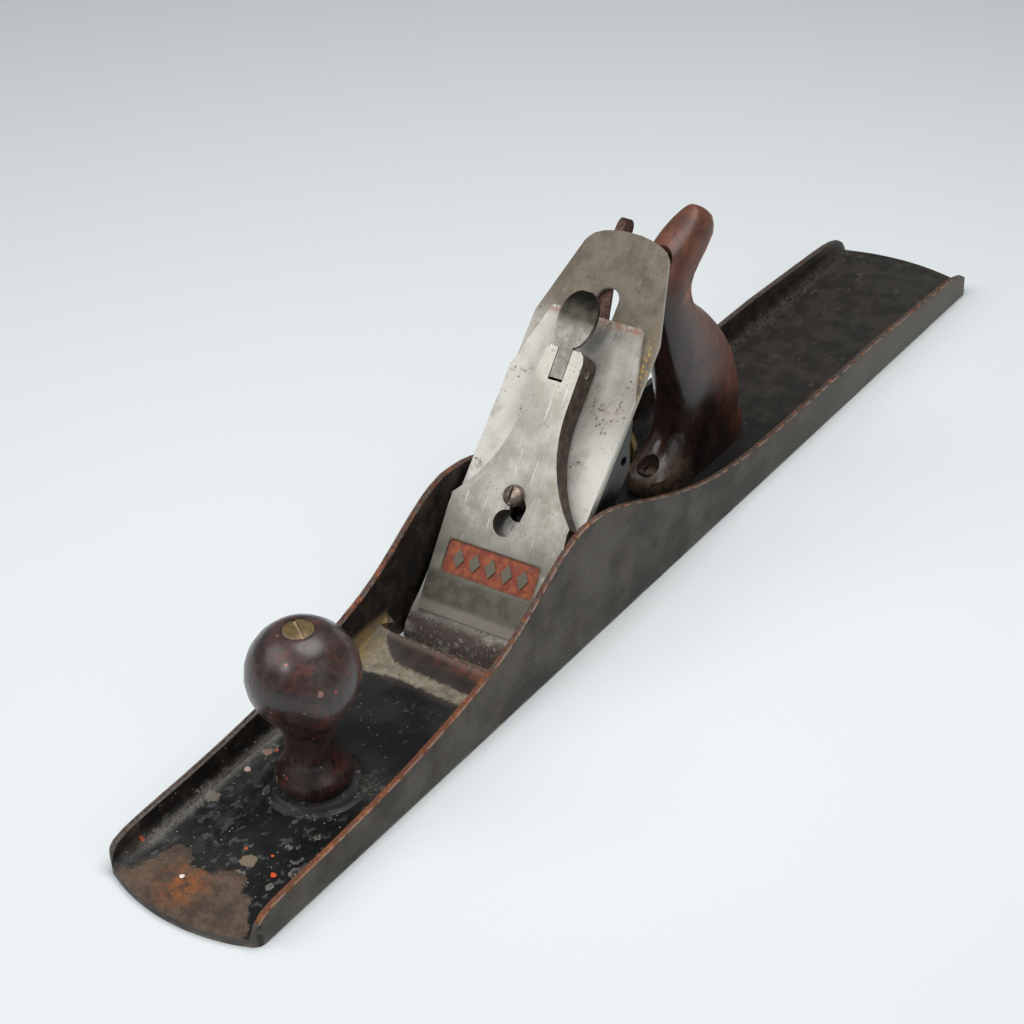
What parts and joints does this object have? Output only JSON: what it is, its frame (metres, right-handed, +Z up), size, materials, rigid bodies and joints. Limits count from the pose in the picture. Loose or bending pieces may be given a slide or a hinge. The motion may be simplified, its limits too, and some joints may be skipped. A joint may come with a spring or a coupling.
{
  "type": "jointer plane",
  "caption": "Long cast bench plane with steel irons on an adjustable frog, a lever cap with a cam lever, a round front knob and a curved rear handle.",
  "frame": {"origin": "middle of the sole: bottom centre of the whole plane's box", "axes": "+X from the toe to the heel, +Y to the left of the user who pushes the plane, +Z up from the sole"},
  "size_m": [0.5588, 0.073, 0.1352],
  "materials": {
    "bed": "worn black japanning inside, dark ground iron outside, rust on the edges",
    "frog": "black japanning",
    "frog_fasteners": "browned steel",
    "yoke": "dark cast",
    "small_steel": "dull steel",
    "depth_nut": "tarnished olive brass",
    "lateral_lever": "browned steel",
    "cutting_iron": "pitted tan grey steel",
    "cap_iron": "pitted grey steel",
    "cap_screws": "browned steel",
    "lever_cap": "worn nickel, scratched satin",
    "cam_lever": "polished dark steel",
    "knob": "glossy dark rosewood",
    "handle": "reddish brown rosewood, worn orange at the edges",
    "brass": "olive worn brass"
  },
  "bodies": {
    "bed": {"bed_casting": "bed", "frog_screw_left": "frog_fasteners", "frog_screw_right": "frog_fasteners", "frog_washer_left": "frog_fasteners", "frog_washer_right": "frog_fasteners", "knob": "knob", "knob_nut": "brass", "knob_rod": "small_steel", "handle": "handle", "handle_nut": "brass", "handle_rod": "small_steel", "handle_toe_screw": "brass"},
    "frog": {"frog": "frog", "frog_adjusting_clip": "frog_fasteners", "clip_screw": "frog_fasteners", "yoke_pin": "small_steel", "depth_stud": "small_steel", "lateral_pivot_rivet": "small_steel"},
    "frog_adjuster": {"frog_adjusting_screw": "frog_fasteners"},
    "depth_nut": {"depth_nut": "depth_nut"},
    "depth_yoke": {"depth_yoke": "yoke"},
    "lateral_lever": {"lateral_lever": "lateral_lever", "lateral_roller": "small_steel"},
    "lever_cap": {"lever_cap": "lever_cap", "lever_cap_spring": "small_steel", "spring_rivet": "small_steel", "cam_lever_pin": "small_steel"},
    "cam_lever": {"cam_lever": "cam_lever"},
    "irons": {"cutting_iron": "cutting_iron", "cap_iron": "cap_iron", "cap_iron_screw": "cap_screws"},
    "lever_cap_screw": {"lever_cap_screw": "cap_screws"}
  },
  "joints": [
    {"name": "frog_slide", "type": "slide", "parent": "bed", "child": "frog", "axis": [1, 0, 0], "range_m": [-0.0015, 0.0015]},
    {"name": "frog_adjuster_turn", "type": "hinge", "parent": "frog", "child": "frog_adjuster", "pos_m": [-0.0316, 0, 0.0105], "axis": [1, 0, 0], "range_deg": [-541, 541]},
    {"name": "depth_nut_turn", "type": "hinge", "parent": "frog", "child": "depth_nut", "pos_m": [-0.012, 0, 0.048], "axis": [1, 0, 0], "range_deg": [-361, 540.5]},
    {"name": "yoke_tilt", "type": "hinge", "parent": "frog", "child": "depth_yoke", "pos_m": [-0.024, 0, 0.062], "axis": [0, 1, 0], "range_deg": [-4.1, 6.15]},
    {"name": "lateral_lever_swing", "type": "hinge", "parent": "frog", "child": "lateral_lever", "pos_m": [-0.00984, 0, 0.09201], "axis": [-0.7071, 0, 0.7071], "range_deg": [-1.9, 10.25]},
    {"name": "lateral_tilt", "type": "hinge", "parent": "frog", "child": "lever_cap", "pos_m": [-0.0553, 0, 0.0498], "axis": [-0.7071, 0, 0.7071], "range_deg": [-2.2, 0.4]},
    {"name": "cam_lever_swing", "type": "hinge", "parent": "lever_cap", "child": "cam_lever", "pos_m": [-0.0221, 0.00234, 0.09573], "axis": [0.0296, -0.9991, 0.0296], "range_deg": [0, 80]},
    {"name": "blade_depth", "type": "slide", "parent": "lever_cap", "child": "irons", "axis": [0.707, 0.0209, 0.707], "range_m": [-0.00105, 0.00158]},
    {"name": "lever_cap_screw_turn", "type": "hinge", "parent": "frog", "child": "lever_cap_screw", "pos_m": [-0.0553, 0, 0.0498], "axis": [-0.7071, 0, 0.7071], "range_deg": [-90, 90]}
  ],
  "couplings": [
    {"joint": "frog_adjuster_turn", "follows": "frog_slide", "rad_per_m": 6283.2},
    {"joint": "depth_nut_turn", "follows": "blade_depth", "rad_per_m": 5961.4},
    {"joint": "yoke_tilt", "follows": "blade_depth", "rad_per_m": 67.77},
    {"joint": "lateral_lever_swing", "follows": "lateral_tilt", "ratio": -4.636}
  ]
}
